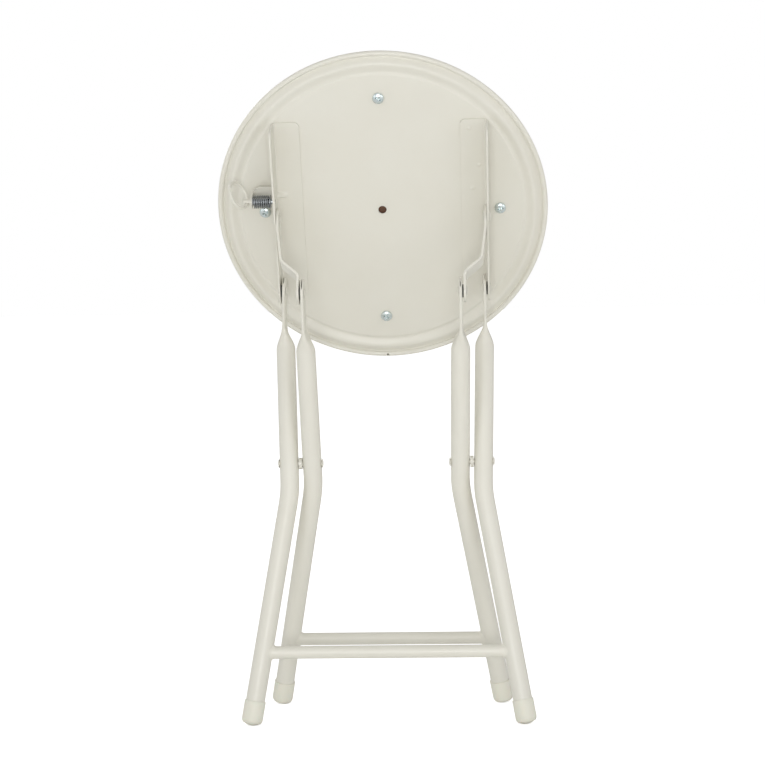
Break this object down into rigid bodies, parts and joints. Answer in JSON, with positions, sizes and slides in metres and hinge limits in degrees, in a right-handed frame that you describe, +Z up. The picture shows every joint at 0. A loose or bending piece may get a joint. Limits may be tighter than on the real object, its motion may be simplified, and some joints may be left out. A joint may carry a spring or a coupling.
{
  "type": "folding stool",
  "caption": "Round padded stool on two crossed tube frames that fold flat under the seat, with joggled links and a sprung pull pin that locks the stool open.",
  "frame": {"origin": "on the floor, at the middle of the box around the half-folded stool as it stands on its four feet", "axes": "+X to the right across the stool as seen from the seat's underside, +Y from that side to the side the padded top faces, +Z up"},
  "size_m": [0.33, 0.1586, 0.6601],
  "materials": {
    "cream_paint": "smooth gloss stove enamel over steel",
    "cream_vinyl": "fine-grained vinyl",
    "cream_plastic": "moulded, satin",
    "zinc": "bright zinc plate",
    "spring_steel": "dark oiled steel",
    "plywood": "raw board",
    "foam": "open foam"
  },
  "bodies": {
    "outer_frame": {"leg_outer_left": "cream_paint", "leg_outer_right": "cream_paint", "crossbar_outer": "cream_paint", "foot_outer_left": "cream_plastic", "foot_outer_right": "cream_plastic", "crossing_rivet_left": "cream_paint", "crossing_rivet_right": "cream_paint", "crossing_spacer_left": "cream_paint", "crossing_spacer_right": "cream_paint"},
    "inner_frame": {"leg_inner_left": "cream_paint", "leg_inner_right": "cream_paint", "crossbar_inner": "cream_paint", "foot_inner_left": "cream_plastic", "foot_inner_right": "cream_plastic", "knee_tail_left": "cream_paint", "knee_tail_right": "cream_paint"},
    "seat": {"seat_pan": "cream_paint", "seat_board": "plywood", "seat_foam": "foam", "seat_cover": "cream_vinyl", "seat_screw_1": "zinc", "seat_screw_2": "zinc", "seat_screw_3": "zinc", "seat_screw_4": "zinc", "rail_left": "cream_paint", "rail_right": "cream_paint", "seat_rivet_left": "cream_paint", "seat_rivet_right": "cream_paint", "seat_washer_left": "zinc", "seat_washer_right": "zinc", "link_rivet_left": "cream_paint", "link_rivet_right": "cream_paint", "lock_bracket": "cream_paint", "lock_spring": "spring_steel"},
    "left_link": {"link_left": "cream_paint", "knee_rivet_left": "cream_paint", "knee_washer_left": "zinc"},
    "right_link": {"link_right": "cream_paint", "knee_rivet_right": "cream_paint", "knee_washer_right": "zinc"},
    "lock": {"lock_pin": "spring_steel", "lock_ring": "cream_paint"}
  },
  "joints": [
    {"name": "seat_fold", "type": "hinge", "parent": "outer_frame", "child": "seat", "pos_m": [0, 0.00647, 0.42675], "axis": [1, 0, 0], "range_deg": [0, 83.66]},
    {"name": "frame_spread", "type": "hinge", "parent": "outer_frame", "child": "inner_frame", "pos_m": [0, -0.02435, 0.25514], "axis": [1, 0, 0], "range_deg": [0, 33.4]},
    {"name": "left_link_swing", "type": "hinge", "parent": "seat", "child": "left_link", "pos_m": [0, -0.02435, 0.49927], "axis": [1, 0, 0], "range_deg": [-134, 0]},
    {"name": "right_link_swing", "type": "hinge", "parent": "seat", "child": "right_link", "pos_m": [0, -0.02435, 0.49927], "axis": [1, 0, 0], "range_deg": [-134, 0]},
    {"name": "lock_pull", "type": "slide", "parent": "seat", "child": "lock", "axis": [-1, 0, 0], "range_m": [-0.0024, 0.0015], "stiffness_N_per_m": 500, "springref_m": -0.006, "deforming": ["lock_spring"]}
  ],
  "couplings": [
    {"joint": "frame_spread", "follows": "seat_fold", "ratio": 0.39894},
    {"joint": "left_link_swing", "follows": "seat_fold", "ratio": -1.6011},
    {"joint": "right_link_swing", "follows": "seat_fold", "ratio": -1.6011}
  ]
}
